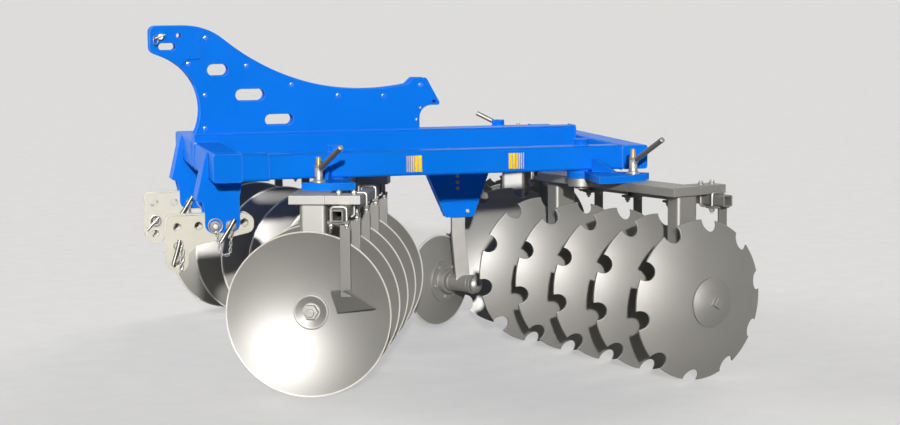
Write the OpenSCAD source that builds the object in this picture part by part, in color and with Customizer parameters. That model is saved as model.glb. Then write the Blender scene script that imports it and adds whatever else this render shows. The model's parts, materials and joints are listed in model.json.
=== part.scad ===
// Mounted tandem disc harrow: four swivelling gangs under a tube frame, three point hitch, centre disc.
// Millimetres, +Z up, +X to the rear of the machine, discs stand on z = 0.

/* [Discs] */
// Diameter of every gang disc
disc_d = 560; // [530:5:580]
// Sheet thickness of a gang disc
disc_t = 6; // [5:0.5:8]
// Depth of the hollow at the middle of a disc
disc_dish = 70; // [58:1:74]
// Distance from one disc to the next along the axle
disc_pitch = 230; // [222:1:240]
// Diameter of the flat middle of a disc
disc_flat_d = 118; // [112:2:130]
// Number of scallops in a rear disc
notch_n = 10; // [8:1:12]
// Radius of one scallop
notch_r = 33; // [26:1:36]
// How far inside the rim a scallop is centred
notch_in = 7; // [4:1:12]
// Angle of the rearmost scallop above the axle
notch_turn = 9.5; // [0:0.5:18]

/* [Gangs] */
// Angle of every gang to the cross direction
gang_angle = 20; // [18:0.5:22]
// Inner disc of a front gang, lengthways place
front_inner_x = 8; // [0:1:20]
// Gap from the middle of the machine to the rim of a front inner disc
front_gap = 17; // [16:1:30]
// Inner disc of a rear gang, lengthways place
rear_inner_x = 734; // [725:1:750]
// Gap from the middle of the machine to the rim of a rear inner disc
rear_gap = 94; // [88:1:110]
// Height of the gang beams' underside above the axles
gang_beam_rise = 359; // [350:1:366]
// Thickness of the gang beams
gang_beam_t = 30; // [25:1:32]
// Width of the gang beam ahead of the axle
gang_beam_ahead = 79; // [72:1:90]
// Width of the gang beam behind the axle
gang_beam_behind = 45; // [42:1:50]
// Length of the plates that carry the scraper bar
tail_len = 120; // [112:1:130]
// Length along the beam of those plates
tail_w = 84; // [70:2:100]
// How far the beam runs past a hanger
beam_over = 48; // [40:1:55]
// Hanger tube, size across the beam
hanger_x = 90; // [80:1:96]
// Hanger tube, size along the beam
hanger_y = 62; // [52:1:66]
// Hanger tube wall
hanger_wall = 8; // [5:0.5:10]
// Corner radius of the hanger tubes
hanger_round = 12; // [8:1:16]
// Front hanger, distance in from the outer disc
front_hanger = 143; // [138:1:155]
// Rear hanger, distance in from the outer disc
rear_hanger = 85; // [75:1:95]
// Outside diameter of the bearing housing
housing_d = 104; // [92:1:112]
// Length of the bearing housing
housing_len = 60; // [50:1:64]

/* [Axles] */
// Side of the square axle
axle_side = 30; // [26:1:34]
// Angle the square axle is turned about itself
square_turn = 33; // [0:1:45]
// Diameter of the spool tubes
spool_d = 60; // [54:1:64]
// Diameter of the spool flanges
spool_flange_d = 108; // [100:1:112]
// Thickness of the spool flanges
spool_flange_t = 10; // [8:1:12]
// Length of the flare behind a spool flange
spool_flare = 18; // [14:1:20]
// Diameter of the dished end washer
end_washer_d = 117; // [108:1:118]
// Diameter of the domed end washer of a rear gang
dome_washer_d = 175; // [150:1:185]
// Height of that dome
dome_h = 24; // [18:1:28]
// Edge thickness of the end washers
washer_edge = 5; // [4:0.5:7]
// Height of the dished end washer
washer_h = 16; // [12:1:20]
// Diameter of the end nuts
end_nut_d = 52; // [46:1:56]
// Height of the end nuts
end_nut_h = 24; // [20:1:28]
// Diameter of the end bolt
end_bolt_d = 28; // [24:1:30]

/* [Frame] */
// Side of the square side beams
beam_side = 88; // [80:1:92]
// Wall of the frame tubes
beam_wall = 8; // [6:0.5:10]
// Corner radius of the frame tubes
beam_round = 10; // [9:0.5:14]
// Distance from the middle to a side beam
beam_y = 560; // [552:1:568]
// Front face of the front cross tube
front_x = -567; // [-575:1:-560]
// Side of the square front cross tube
cross_side = 100; // [96:1:104]
// Rear face of the rear cross tube
rear_x = 1026; // [1020:1:1035]
// Lengthways size of the rear cross tube
rear_cross_w = 96; // [86:1:100]
// How far the cross tubes run past the side beams
cross_over = 3; // [2:1:12]
// Length of the sleeve round the front of a side beam
sleeve_len = 95; // [80:1:110]
// Wall of that sleeve
sleeve_t = 5; // [4:0.5:6]
// Width of the centre beam
centre_w = 100; // [94:1:106]
// Height of the centre beam
centre_h = 122; // [116:1:126]
// How far its underside lies above that of the side beams
centre_lift = 2; // [0:0.5:4]

/* [Swivels] */
// Front swivel, lengthways place
front_pivot_x = -130; // [-134:1:-120]
// Rear swivel, lengthways place
rear_pivot_x = 785; // [780:1:792]
// Diameter of the swivel pins
pivot_d = 30; // [26:1:32]
// Outside diameter of the swivel tubes
pivot_tube_d = 52; // [46:1:56]
// How far the swivel tubes stand above the side beams
pivot_rise = 25; // [16:1:32]
// Thickness of the clamp plates
clamp_t = 25; // [18:1:28]
// Height of the pad between clamp plate and side beam
pad_h = 4.5; // [3:0.5:12]
// Clamp stud diameter
stud_d = 16; // [14:1:20]
// How far the clamp studs stand ahead of the axle
stud_ahead = 8; // [4:1:20]
// Front clamp stud, distance from the middle of the machine
front_stud_y = 700; // [694:1:712]
// Rear clamp stud, distance from the middle of the machine
rear_stud_y = 733; // [724:1:742]
// How far a stud stands out of its nut
stud_out = 28; // [22:1:34]
// Angle a clamp stud can run each way in its slot
slot_half = 8; // [7:0.5:10]
// Angle of a clamp plate past its stud, towards the machine's end
fan_end = 16; // [15:1:22]
// Angle of a clamp plate past its stud, towards the machine's middle
fan_mid = 42; // [36:1:48]
// Metal round the clamp slot
fan_edge = 34; // [30:1:40]
// Metal round the swivel pin
hub_edge = 25; // [20:1:30]
// Thickness of the gusset of a clamp plate
gusset_t = 12; // [8:1:14]
// Distance from the gusset's foot to the stud
gusset_clear = 68; // [62:1:80]
// Flat top of the gusset
gusset_top = 14; // [10:1:18]
// Height of the clamp nut
nut_h = 58; // [50:1:64]
// Diameter of the clamp nut
nut_d = 28; // [26:1:34]
// Diameter of its flange
nut_flange_d = 46; // [42:1:50]
// Thickness of its flange
nut_flange_t = 5; // [4:0.5:7]
// Length of the clamp handle
handle_len = 200; // [150:1:215]
// Angle of the clamp handle to the upright
handle_lean = 63; // [50:1:68]
// Height of the handle's foot on the nut
handle_z = 42; // [36:1:46]
// Diameter of the clamp handle
handle_d = 19; // [16:1:22]

/* [Scrapers] */
// Side of the square scraper bar
bar_side = 40; // [36:1:42]
// Wall of the scraper bar
bar_wall = 5; // [3:0.5:6]
// Scraper bar, distance behind the axle
bar_x = 112; // [106:1:118]
// Width of a scraper arm
arm_w = 34; // [30:1:40]
// Thickness of a scraper arm
arm_t = 10; // [8:1:11]
// Thickness of a scraper blade
blade_t = 6; // [5:0.5:8]
// Gap between a blade and the hollow of its disc
blade_gap = 19; // [16:1:24]
// Nearest place of a blade to the axle
blade_in = 95; // [90:1:100]
// Height of a blade
blade_h = 92; // [80:1:100]
// Angle by which the top of a blade leans out of the hollow
blade_tilt = 33; // [28:1:38]
// Distance from the rim plane of a disc to its scraper arm
arm_out = 18; // [14:1:22]
// Length of the plate that clamps an arm to the bar
arm_pad_len = 72; // [66:1:78]
// Width of that plate
arm_pad_w = 44; // [40:1:50]
// Thickness of that plate
arm_pad_t = 8; // [6:1:10]

/* [Hitch] */
// Lower hitch points, distance from the middle
hitch_y = 412; // [405:1:420]
// Clear gap between the two hitch plates of one side
hitch_gap = 52; // [48:1:60]
// Thickness of a hitch plate
hitch_t = 15; // [12:1:18]
// Thickness of a bracket cheek
cheek_t = 12; // [10:1:14]
// Depth of the upper row of hitch holes below the side beams
hitch_drop = 172; // [166:1:178]
// Diameter of the hitch holes
hitch_hole_d = 28.8; // [26:0.2:29]
// Diameter of the two bracket pins
hitch_pin_d = 26; // [22:1:28]
// Distance between the two bracket pins
hitch_pin_step = 56; // [52:1:60]
// How far a bracket pin stands out past the cheeks
hitch_pin_out = 14; // [10:1:18]
// Width of the foot of a hitch plate
hitch_foot_w = 72; // [68:1:76]

/* [Tower] */
// Thickness of a tower plate
tower_t = 12; // [10:1:14]
// Clear gap between the tower plates
tower_gap = 54; // [50:1:60]
// Height of the tower above the centre beam
tower_h = 408; // [400:1:415]
// How far the tower head reaches ahead of the frame
tower_reach = 155; // [148:1:160]
// Length of the tower's foot behind the front of the frame
tower_len = 870; // [860:1:880]
// Radius of the long hollow top edge
sweep_r = 850; // [835:5:880]
// Height of the lowest place of that edge above the centre beam
sweep_low = 160; // [154:1:166]
// Radius of the hollow front edge
nose_r = 210; // [204:1:216]
// Thickness of the plates on the tower head
head_t = 8; // [6:1:10]
// Diameter of the top link hole
top_hole_d = 25.8; // [25:0.1:26.5]
// Diameter of the spacer tubes
spacer_d = 28; // [24:1:32]

/* [Centre disc] */
// Diameter of the centre disc
cdisc_d = 360; // [330:5:380]
// Lengthways place of its hub
hub_x = 478; // [470:1:486]
// Height of its hub
hub_z = 212; // [206:1:225]
// Diameter of the hub
hub_d = 66; // [56:1:70]
// Length of the hub
hub_len = 120; // [110:1:130]
// Angle of its axle to the cross direction
hub_angle = 35; // [32:0.5:38]
// Width of its arm
carm_w = 52; // [46:1:58]
// Thickness of its arm
carm_t = 25; // [20:1:28]
// Thickness of the bracket plates
cplate_t = 12; // [10:1:14]
// Lengthways place of the arm's upper end
carm_x = 460; // [454:1:466]
// Depth of the bracket plates below the centre beam
cplate_h = 225; // [215:1:235]
// Reach of the bracket plates ahead of the arm's upper end, under the beam
cplate_ahead = 150; // [140:1:160]
// Reach behind it, under the beam
cplate_behind = 140; // [130:1:150]
// Reach ahead of it, at the foot of the plates
cfoot_ahead = 53; // [48:1:58]
// Reach behind it, at the foot of the plates
cfoot_behind = 57; // [52:1:62]
// Distance between the bolts in the bracket
cbolt_step = 24; // [22:1:28]
// Diameter of those bolts
cbolt_d = 12; // [10:1:14]
// Radius of the axle in the hub
cpin_r = 20; // [16:1:22]
// Diameter of the flange that carries the disc
cflange_d = 164; // [156:1:168]
// Thickness of that flange
cflange_t = 10; // [8:1:12]
// Diameter of the boss between flange and hub
cboss_d = 94; // [84:1:100]
// Length of the collar at the free end of the hub
ccollar = 14; // [10:1:18]
// Depth of the hollow of the centre disc
cdisc_dish = 34; // [30:1:38]
// Diameter of its flat middle
cdisc_flat_d = 180; // [174:2:190]

/* [Fits] */
// Running clearance of a pin or axle in its bore, on the radius
run_fit = 0.05; // [0.02:0.01:0.08]
// Gap between a gang beam and the clamp plate above it
slide_gap = 0.5; // [0.4:0.1:1]
// Gap round a clamp stud in its slot
slot_gap = 1.5; // [1:0.5:2]
// Gap round the square axle in a disc
square_gap = 0.5; // [0.4:0.1:1]

/* [Hidden] */
$fn = 48;
disc_r = disc_d / 2;
flat_r = disc_flat_d / 2;
gangs_n = 5;
span = (gangs_n - 1) * disc_pitch;
bowl_r = (disc_r * disc_r + disc_dish * disc_dish) / (2 * disc_dish);
flat_z = disc_dish - bowl_r + sqrt(bowl_r * bowl_r - flat_r * flat_r);
axis_z = disc_r;
sa = sin(gang_angle);
ca = cos(gang_angle);
front_inner_y = disc_r * sa + front_gap;
rear_inner_y = disc_r * sa + rear_gap;
front_o = [front_inner_x - span * sa, -front_inner_y - span * ca];
rear_o = [rear_inner_x + span * sa, -rear_inner_y - span * ca];
front_p = turn([front_pivot_x - front_o[0], -beam_y - front_o[1]], gang_angle);
rear_p = turn([rear_pivot_x - rear_o[0], -beam_y - rear_o[1]], -gang_angle);
front_stud = [-stud_ahead, (-front_stud_y - front_o[1]) / ca];
rear_stud = [-stud_ahead, (-rear_stud_y - rear_o[1]) / ca];
gang_beam_z = axis_z + gang_beam_rise;
bar_top = gang_beam_z;
clamp_z = gang_beam_z + gang_beam_t + slide_gap;
clamp_top = clamp_z + clamp_t;
nut_z = clamp_top + slide_gap;
beam_z = clamp_top + pad_h;
beam_mid = beam_z + beam_side / 2;
side_face = -beam_y - beam_side / 2;
side_top = beam_z + beam_side;
pivot_r = pivot_d / 2;
pivot_top = side_top + pivot_rise;
cross_z = beam_mid - cross_side / 2;
cross_top = cross_z + cross_side;
cross_back = front_x + cross_side;
cross_end = beam_y + beam_side / 2 + sleeve_t + cross_over;
rear_front = rear_x - rear_cross_w;
centre_z = beam_z + centre_lift;
centre_top = centre_z + centre_h;
hitch_row_z = beam_z - hitch_drop;
hitch_pin_x = [front_x + 20, front_x + 20 + hitch_pin_step];
tower_back = front_x + tower_len;
head_x = front_x - tower_reach;
head_top = centre_top + tower_h;
sweep_c = [tower_back - 208, centre_top + sweep_low + sweep_r];
// Places of the spacer tubes behind the front of the frame and above the centre beam
spacer_spots = [[tower_len - 816, tower_h - 49], [-12, tower_h - 145], [tower_len - 664, sweep_low + 93],
  [tower_len - 494, sweep_low + 20], [tower_len - 316, sweep_low - 25], [tower_len - 140, sweep_low - 29],
  [tower_len + 7, sweep_low + 9], [48, 145], [46, 21]];
nose_c = [front_x + 26 - nose_r, centre_top + 95];
cbolt_x = carm_x - 7;
cbolt_z = [for (i = [0:2]) centre_z - 64 - i * cbolt_step];
notch_c = disc_r - notch_in;
notch_half = acos((disc_r * disc_r + notch_c * notch_c - notch_r * notch_r) / (2 * notch_c * disc_r));
rim_out = disc_t * bowl_r / (bowl_r - disc_dish);
rear_end = rear_o[0] + disc_r * cos(max(0, notch_half - notch_turn)) * ca + rim_out * sa;
x_shift = -(head_x + rear_end) / 2;
hub_y = -10;
disc_side = -hub_len / 2 - 40;
blue = [0.12, 0.45, 0.92];
silver = [0.72, 0.71, 0.68];
cream = [0.87, 0.85, 0.79];
steel = [0.4, 0.39, 0.38];

function turn(v, a) = [v[0] * cos(a) - v[1] * sin(a), v[0] * sin(a) + v[1] * cos(a)];
function xy(p) = [p[0], p[1]];

// Hollow of a gang disc above its rim plane, at radius r
function bowl(r) = disc_dish - bowl_r + sqrt(bowl_r * bowl_r - r * r);

function arc(c, r, a0, a1, n) = [for (i = [0:n]) c + r * turn([1, 0], a0 + (a1 - a0) * i / n)];

// Points of an arc, as corner points without a radius
function plain(p) = [for (q = p) [q[0], q[1], 0]];

// Arc of radius r that rounds the corner b between a and c
function corner(a, b, c, r) =
  let (
    u = (a - b) / norm(a - b),
    v = (c - b) / norm(c - b),
    half = acos(u * v) / 2,
    m = b + (u + v) / norm(u + v) * r / sin(half),
    p = b + u * r / tan(half) - m,
    q = b + v * r / tan(half) - m,
    a0 = atan2(p[1], p[0])
  )
  arc(m, r, a0, a0 + atan2(p[0] * q[1] - p[1] * q[0], p * q), 6);

// Closed outline through corner points [x, z, radius]
function rounded(p) =
  let (n = len(p))
  [for (i = [0:n - 1])
    each p[i][2] > 0 ? corner(xy(p[(i + n - 1) % n]), xy(p[i]), xy(p[(i + 1) % n]), p[i][2]) : [xy(p[i])]];

// Right hand pieces are the left hand ones mirrored
module side(right) {
  translate([x_shift, 0, 0])
    mirror([0, right ? 1 : 0, 0])
      children();
}

// Gang frame: x behind the axle, y inwards along it, origin under the outer disc
module gang(rear, right) {
  o = rear ? rear_o : front_o;
  side(right)
    translate([o[0], o[1], 0])
      rotate([0, 0, rear ? gang_angle : -gang_angle])
        children();
}

// Axle frame: z along the axle from the hollow end, first disc rim at z = 0
module along(rear, right) {
  gang(rear, right)
    translate([0, rear ? span : 0, axis_z])
      mirror([0, rear ? 1 : 0, 0])
        rotate([-90, 0, 0])
          children();
}

// Flat rectangle with round corners
module round_rect(w, h, r) {
  square([w - 2 * r, h], center = true);
  square([w, h - 2 * r], center = true);
  for (i = [-1, 1])
    for (j = [-1, 1])
      translate([i * (w / 2 - r), j * (h / 2 - r)])
        circle(r = r);
}

// Slot with round ends, centred
module slot_2d(len, wid) {
  square([len - wid, wid], center = true);
  for (i = [-1, 1])
    translate([i * (len - wid) / 2, 0])
      circle(d = wid);
}

// Tube of rounded section along x, closed at both ends
module tube_x(x0, x1, w, h, r, wall) {
  translate([x0, 0, 0])
    rotate([90, 0, 90])
      difference() {
        linear_extrude(x1 - x0)
          round_rect(w, h, r);
        translate([0, 0, wall])
          linear_extrude(x1 - x0 - 2 * wall)
            square([w - 2 * wall, h - 2 * wall], center = true);
      }
}

module upright(y0, y1) {
  translate([0, y1, 0])
    rotate([90, 0, 0])
      linear_extrude(y1 - y0)
        children();
}

module centre_beam() {
  color(blue)
    side(false)
      translate([0, 0, centre_z + centre_h / 2])
        tube_x(front_x, rear_front, centre_w, centre_h, beam_round, beam_wall);
}

module front_cross() {
  color(blue)
    for (right = [false, true])
      side(right)
        translate([front_x + cross_side / 2, 0, cross_z + cross_side / 2])
          rotate([0, 0, -90])
            tube_x(centre_w / 2, cross_end, cross_side, cross_side, beam_round, beam_wall);
}

module rear_cross() {
  color(blue)
    side(false)
      translate([rear_x - rear_cross_w / 2, 0, beam_z + beam_side / 2])
        rotate([0, 0, -90])
          tube_x(-cross_end + sleeve_t, cross_end - sleeve_t, rear_cross_w, beam_side, beam_round, beam_wall);
}

module side_beam(right) {
  color(blue)
    side(right)
      difference() {
        translate([0, -beam_y, beam_z + beam_side / 2]) {
          tube_x(cross_back, rear_front, beam_side, beam_side, beam_round, beam_wall);
          translate([cross_back, 0, 0])
            rotate([90, 0, 90])
              linear_extrude(sleeve_len)
                difference() {
                  round_rect(beam_side + 2 * sleeve_t, beam_side + 2 * sleeve_t, beam_round + sleeve_t);
                  square([beam_side - 2 * beam_wall, beam_side - 2 * beam_wall], center = true);
                }
        }
        for (x = [front_pivot_x, rear_pivot_x])
          translate([x, -beam_y, beam_z - 1])
            cylinder(d = pivot_tube_d, h = beam_side + 2);
      }
}

// Fan shaped plate with an arc slot about the swivel, x towards the stud
module clamp_plate(rear, right) {
  d = rear ? rear_stud - rear_p : front_stud - front_p;
  px = rear ? rear_pivot_x : front_pivot_x;
  reach = norm(d);
  heading = atan2(d[1], d[0]) + (rear ? gang_angle : -gang_angle);
  half = stud_d / 2 + slot_gap;
  slot_end = slot_half + asin(half / reach);
  far = 2 * (reach + fan_edge);
  face = beam_side / 2 / abs(sin(heading));
  color(blue)
    side(right)
      difference() {
        union() {
          translate([px, -beam_y, clamp_z])
            rotate([0, 0, heading])
              linear_extrude(clamp_t)
                difference() {
                  union() {
                    circle(d = pivot_tube_d + 2 * hub_edge);
                    intersection() {
                      circle(r = reach + fan_edge);
                      polygon([[0, 0], turn([far, 0], rear ? -fan_mid : -fan_end),
                        turn([far, 0], rear ? fan_end : fan_mid)]);
                    }
                  }
                  intersection() {
                    difference() {
                      circle(r = reach + half);
                      circle(r = reach - half);
                    }
                    polygon([[0, 0], turn([far, 0], -slot_end), turn([far, 0], slot_end)]);
                  }
                }
          translate([px, -beam_y, clamp_z])
            cylinder(d = pivot_tube_d, h = pivot_top - clamp_z);
          translate([px, -beam_y, clamp_top - 1])
            cylinder(d = beam_side - 2 * beam_round, h = pad_h + 1);
          intersection() {
            translate([px, -beam_y, 0])
              rotate([0, 0, heading])
                upright(-gusset_t / 2, gusset_t / 2)
                  polygon([[0, clamp_top - 1], [0, beam_mid], [face + gusset_top, beam_mid],
                    [reach - gusset_clear, clamp_top - 1]]);
            translate([px - far, side_face - far, 0])
              cube([2 * far, far, side_top]);
          }
        }
        translate([px, -beam_y, clamp_z - 1])
          cylinder(r = pivot_r + run_fit, h = pivot_top);
      }
}

// Head arc touches both the level top and the long hollow edge
module tower_outline() {
  dx = sweep_c[0] - front_x + 26;
  dz = sweep_c[1] - head_top;
  head_r = (dx * dx + dz * dz - sweep_r * sweep_r) / (2 * (sweep_r - dz));
  head_c = [front_x - 26, head_top - head_r];
  lean = atan2(sweep_c[1] - head_c[1], dx);
  nose_end = 68;
  nose = arc(nose_c, nose_r, asin((centre_top - nose_c[1]) / nose_r), nose_end, 14);
  chin = nose[14] + turn([0, (nose[14][0] - head_x) / sin(nose_end)], nose_end);
  polygon(rounded(concat(
    plain(nose),
    [[chin[0], chin[1], 26], [head_x, head_top, 25]],
    plain(arc(head_c, head_r, 90, lean, 8)),
    plain(arc(sweep_c, sweep_r, 180 + lean + 2, 281, 24)),
    [[tower_back - 20, centre_top + 199, 8], [tower_back + 28, centre_top + 199, 8],
      [tower_back + 86, centre_top + 93, 9], [tower_back, centre_top + 93, 46],
      [tower_back, centre_top, 0]])));
}

module tower_holes() {
  translate([front_x + 95, centre_top + 241])
    slot_2d(80, 44);
  translate([front_x + 216, centre_top + 145])
    slot_2d(112, 46);
  translate([front_x + 324, centre_top + 50])
    slot_2d(108, 42);
  translate([head_x + 63, head_top - 78])
    slot_2d(64, 27);
  translate([head_x + 107, head_top - 37])
    circle(d = 20);
  translate([head_x + 38, head_top - 40])
    circle(d = top_hole_d);
  translate([tower_back + 58, centre_top + 107])
    circle(d = 14);
  for (p = [[4, 85], [-12, 39]])
    translate([tower_back + p[0], centre_top + p[1]])
      circle(d = 11);
}

module tower_plates() {
  color(blue)
    side(false)
      for (y = [-tower_gap / 2 - tower_t, tower_gap / 2])
        upright(y, y + tower_t)
          difference() {
            tower_outline();
            tower_holes();
          }
}

module tower_spacers() {
  color(blue)
    side(false)
      for (p = spacer_spots)
        translate([front_x + p[0], tower_gap / 2, centre_top + p[1]])
          rotate([90, 0, 0])
            cylinder(d = spacer_d, h = tower_gap);
}

module tower_head() {
  y_out = tower_gap / 2 + tower_t;
  color(blue)
    side(false)
      for (y = [-y_out - head_t, y_out])
        upright(y, y + head_t)
          difference() {
            intersection() {
              tower_outline();
              polygon(rounded([[head_x - 50, head_top + 50, 0], [front_x + 31, head_top + 50, 0],
                [front_x + 31, head_top - 125, 10], [front_x - 16, head_top - 125, 0],
                [front_x - 43, head_top - 148, 0], [head_x - 50, head_top - 286, 0]]));
            }
            tower_holes();
          }
}

// Two cheeks under the cross tube and a sloping plate that ties them in front
module hitch_bracket(right) {
  y_in = hitch_gap / 2 + hitch_t;
  foot = hitch_row_z - 23;
  brow = cross_top - 4;
  skirt = hitch_row_z + 92;
  color(blue)
    side(right) {
      difference() {
        for (y = [-hitch_y - y_in - cheek_t, -hitch_y + y_in])
          upright(y, y + cheek_t)
            polygon(rounded([[front_x, brow, 0], [front_x - 6, brow, 0], [front_x - 45, skirt, 0],
              [front_x - 23, skirt - 8, 0], [front_x - 14, skirt - 50, 0], [front_x - 14, foot, 26],
              [front_x + 109, foot, 34], [front_x + 109, skirt, 0], [front_x + 121, cross_z, 0],
              [front_x, cross_z, 0]]));
        for (x = hitch_pin_x)
          translate([x, 0, hitch_row_z])
            rotate([90, 0, 0])
              cylinder(d = hitch_pin_d, h = 2 * hitch_y);
      }
      upright(-hitch_y - y_in, -hitch_y + y_in)
        polygon([[front_x, brow], [front_x - 6, brow], [front_x - 45, skirt], [front_x - 33, skirt - 4],
          [front_x, brow - 40]]);
    }
}

module hitch_plate_2d() {
  front = front_x - 149;
  tip = front_x + 161;
  low = hitch_row_z - 162;
  difference() {
    polygon(rounded([[front, hitch_row_z + 38, 24], [tip, hitch_row_z + 41, 32], [tip, hitch_row_z - 25, 30],
      [front_x - 45, hitch_row_z - 68, 30], [front_x - 73, hitch_row_z - 94, 20],
      [front + hitch_foot_w, low, 34], [front, low, 34]]));
    for (p = [[-113, 0], [-37, 1], [126, 8], [-113, -68], [-113, -122]])
      translate([front_x + p[0], hitch_row_z + p[1]])
        circle(d = hitch_hole_d);
    for (x = hitch_pin_x)
      translate([x, hitch_row_z])
        circle(d = hitch_pin_d);
  }
}

module hitch_plates(right) {
  color(cream)
    side(right)
      for (y = [-hitch_y - hitch_gap / 2 - hitch_t, -hitch_y + hitch_gap / 2])
        upright(y, y + hitch_t)
          hitch_plate_2d();
}

module hitch_pins() {
  y_in = hitch_gap / 2 + hitch_t + cheek_t;
  color(steel)
    for (right = [false, true])
      side(right)
        for (x = hitch_pin_x)
          translate([x, -hitch_y + y_in + hitch_pin_out, hitch_row_z])
            rotate([90, 0, 0]) {
              cylinder(d = hitch_pin_d, h = 2 * (y_in + hitch_pin_out));
              translate([0, 0, 2 * y_in + hitch_pin_out])
                cylinder(d = hitch_pin_d + 12, h = hitch_pin_out / 2);
            }
}

module centre_bracket() {
  low = centre_z - cplate_h;
  color(blue)
    side(false)
      for (y = [hub_y - carm_t / 2 - cplate_t, hub_y + carm_t / 2])
        upright(y, y + cplate_t)
          difference() {
            polygon([[carm_x - cplate_ahead, centre_z], [carm_x + cplate_behind, centre_z],
              [carm_x + cfoot_behind, low], [carm_x - cfoot_ahead, low]]);
            for (z = cbolt_z)
              translate([cbolt_x, z])
                circle(d = cbolt_d);
          }
}

// Frame of the centre disc's axle, z to the machine's left
module on_hub() {
  side(false)
    translate([hub_x, hub_y, hub_z])
      rotate([0, 0, hub_angle])
        rotate([90, 0, 0])
          children();
}

module centre_arm() {
  w = carm_w / 2;
  color(silver)
    difference() {
      union() {
        side(false)
          upright(hub_y - carm_t / 2, hub_y + carm_t / 2)
            polygon([[carm_x - w, centre_z - 33], [carm_x + w, centre_z - 33], [carm_x + w, hub_z + 202],
              [hub_x + w + 2, hub_z], [hub_x - w - 2, hub_z], [carm_x - w, hub_z + 196]]);
        on_hub() {
          translate([0, 0, -hub_len / 2])
            cylinder(d = hub_d, h = hub_len);
          translate([0, 0, hub_len / 2 - ccollar])
            cylinder(d = hub_d + 8, h = ccollar);
        }
      }
      on_hub()
        translate([0, 0, -hub_len])
          cylinder(r = cpin_r + run_fit, h = 2 * hub_len);
      side(false)
        for (z = cbolt_z)
          translate([cbolt_x, hub_y + carm_t, z])
            rotate([90, 0, 0])
              cylinder(d = cbolt_d, h = 2 * carm_t);
    }
}

// Axle, flange and cap that turn with the centre disc
module centre_hub() {
  cap_r = hub_d / 2;
  color(silver)
    on_hub() {
      translate([0, 0, disc_side])
        cylinder(r = cpin_r, h = hub_len + 44);
      translate([0, 0, disc_side])
        cylinder(d = cflange_d, h = cflange_t);
      translate([0, 0, disc_side + cflange_t])
        cylinder(d = cboss_d, h = 36 - cflange_t);
      translate([0, 0, hub_len / 2 + 4]) {
        cylinder(r = cap_r, h = 8);
        translate([0, 0, 8])
          cap(cap_r - 3, 16);
      }
    }
}

module centre_disc() {
  r = cdisc_d / 2;
  big = (r * r + cdisc_dish * cdisc_dish) / (2 * cdisc_dish);
  f = cdisc_flat_d / 2;
  fz = cdisc_dish - big + sqrt(big * big - f * f);
  color(silver)
    on_hub()
      translate([0, 0, disc_side - fz - disc_t])
        dished(r, cdisc_dish, big, f, fz);
}

// Slice of a ball, r wide at z = 0 and h high
module cap(r, h) {
  big = (r * r + h * h) / (2 * h);
  intersection() {
    translate([0, 0, h - big])
      sphere(r = big, $fn = 96);
    cylinder(r = 2 * r, h = 2 * h);
  }
}

// Dished disc along z, rim plane at z = 0, hollow below
module dished(r, h, big, f, fz) {
  difference() {
    intersection() {
      translate([0, 0, h - big])
        sphere(r = big + disc_t, $fn = 128);
      cylinder(r = r, h = h + 2 * disc_t, $fn = 128);
    }
    translate([0, 0, h - big])
      sphere(r = big, $fn = 128);
    translate([0, 0, -1])
      cylinder(r = f, h = h + 3 * disc_t);
  }
  translate([0, 0, fz])
    cylinder(r = f + 1, h = disc_t);
}

module discs(rear, right) {
  color(silver)
    along(rear, right)
      for (i = [0:gangs_n - 1])
        translate([0, 0, i * disc_pitch])
          difference() {
            dished(disc_r, disc_dish, bowl_r, flat_r, flat_z);
            translate([0, 0, flat_z])
              rotate([0, 0, square_turn])
                cube([axle_side + 2 * square_gap, axle_side + 2 * square_gap, 4 * disc_t], center = true);
            if (rear)
              for (k = [0:notch_n - 1])
                rotate([0, 0, k * 360 / notch_n - notch_turn])
                  translate([notch_c, 0, -1])
                    cylinder(r = notch_r, h = disc_dish);
          }
}

module axle(rear, right) {
  s0 = flat_z + disc_t;
  len = disc_pitch - disc_t;
  end = span + s0;
  color(silver)
    along(rear, right) {
      translate([0, 0, (flat_z + end) / 2])
        rotate([0, 0, square_turn])
          cube([axle_side, axle_side, end - flat_z + 1], center = true);
      for (i = [0:gangs_n - 2])
        translate([0, 0, i * disc_pitch + s0]) {
          cylinder(d = spool_d, h = len);
          cylinder(d = spool_flange_d, h = spool_flange_t);
          translate([0, 0, spool_flange_t])
            cylinder(d1 = spool_flange_d * 0.8, d2 = spool_d, h = spool_flare);
          translate([0, 0, len - spool_flange_t])
            cylinder(d = spool_flange_d, h = spool_flange_t);
          translate([0, 0, len - spool_flange_t - spool_flare])
            cylinder(d1 = spool_d, d2 = spool_flange_d * 0.8, h = spool_flare);
        }
      translate([0, 0, flat_z - washer_h])
        difference() {
          cylinder(d = end_washer_d, h = washer_h);
          translate([0, 0, -1])
            cylinder(d1 = end_washer_d - washer_edge, d2 = end_nut_d + 8, h = washer_h + 1 - washer_edge);
        }
      translate([0, 0, flat_z - washer_edge - end_nut_h])
        cylinder(d = end_nut_d, h = end_nut_h + 1, $fn = 6);
      translate([0, 0, flat_z - washer_edge - end_nut_h - 14])
        cylinder(d = end_bolt_d, h = 20);
      if (rear) {
        translate([0, 0, end])
          cylinder(d = dome_washer_d, h = washer_edge);
        translate([0, 0, end + washer_edge])
          cap(dome_washer_d / 2 - washer_edge / 2, dome_h - washer_edge);
        translate([0, 0, end + (dome_h + 14) / 2])
          rotate([0, 0, square_turn])
            cube([axle_side, axle_side, dome_h + 14], center = true);
      } else {
        translate([0, 0, end])
          cylinder(d1 = spool_flange_d, d2 = spool_flange_d * 0.7, h = 2 * washer_edge);
        translate([0, 0, end])
          cylinder(d = end_nut_d + 4, h = 18);
      }
    }
}

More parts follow.
